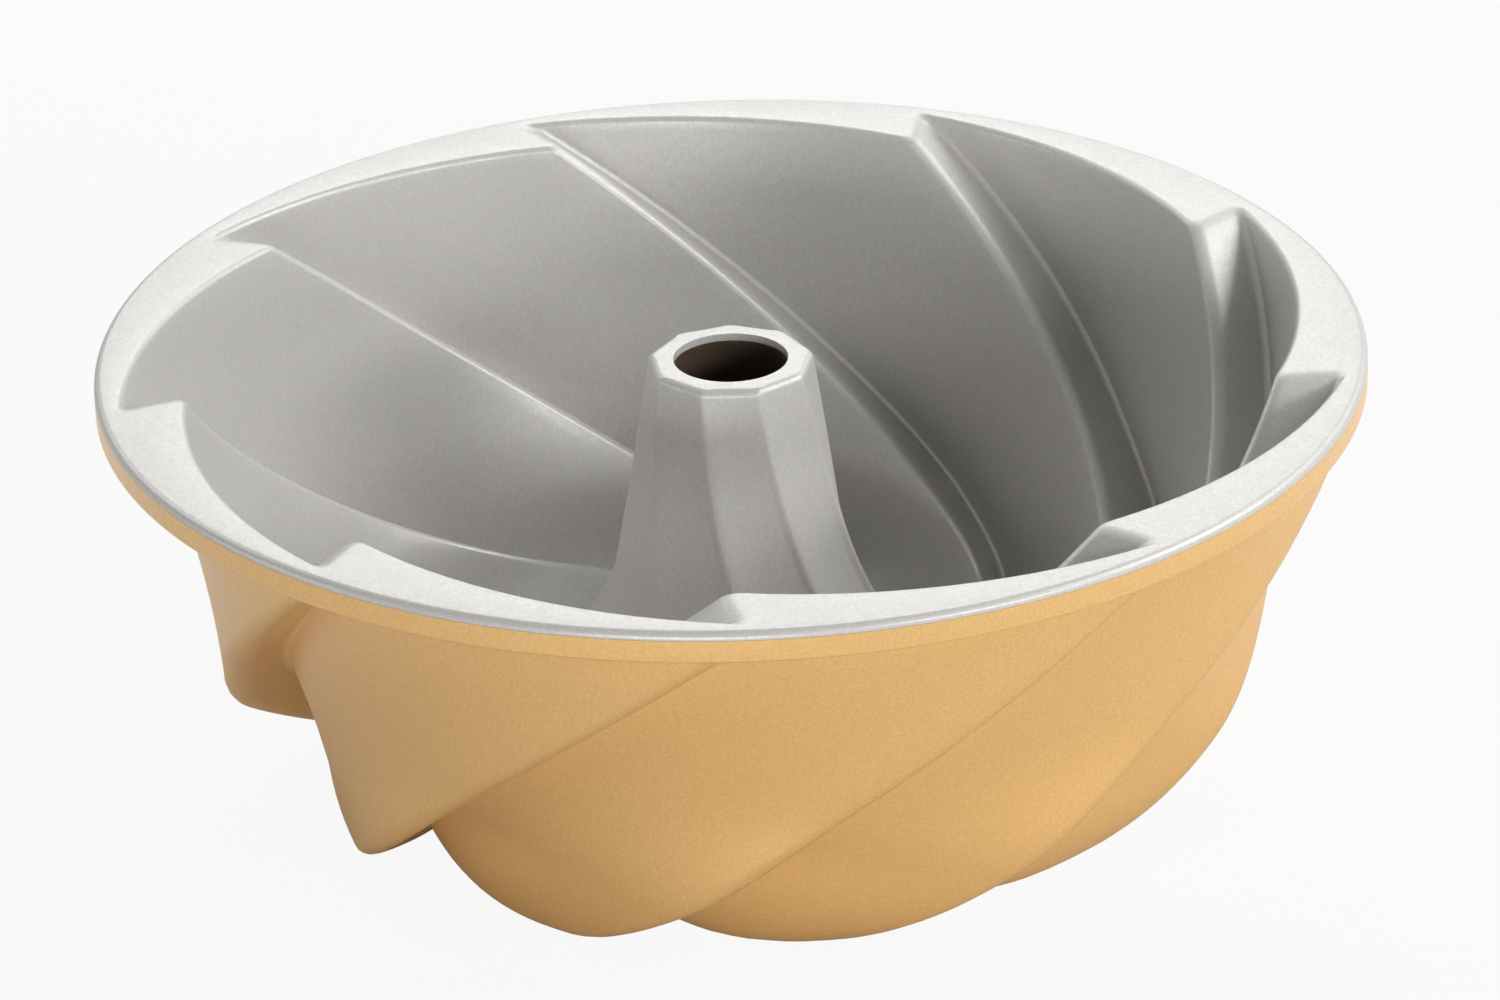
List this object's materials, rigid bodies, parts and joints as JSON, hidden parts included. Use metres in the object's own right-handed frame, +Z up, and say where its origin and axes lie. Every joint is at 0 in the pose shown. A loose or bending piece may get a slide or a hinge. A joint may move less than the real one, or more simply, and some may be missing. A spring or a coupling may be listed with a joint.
{
  "type": "fluted tube pan",
  "caption": "Round cast tube pan with swirled saw-tooth flutes, a hollow faceted centre tube and a flat rim, lined in grey non-stick and finished in gold outside, for baking ring cakes.",
  "frame": {"origin": "on the pan's axis, on the surface that it stands on", "axes": "+Z up along the axis of the tube, -Y towards the viewer of the picture"},
  "size_m": [0.26, 0.26, 0.0962],
  "materials": {
    "cast_aluminium": "as cast, satin",
    "nonstick_lining": "grey baked non-stick coat, satin",
    "gold_finish": "metallic gold baked coat, satin"
  },
  "bodies": {
    "root": {"cast_body": "cast_aluminium", "nonstick_lining": "nonstick_lining", "gold_finish": "gold_finish"}
  },
  "joints": []
}
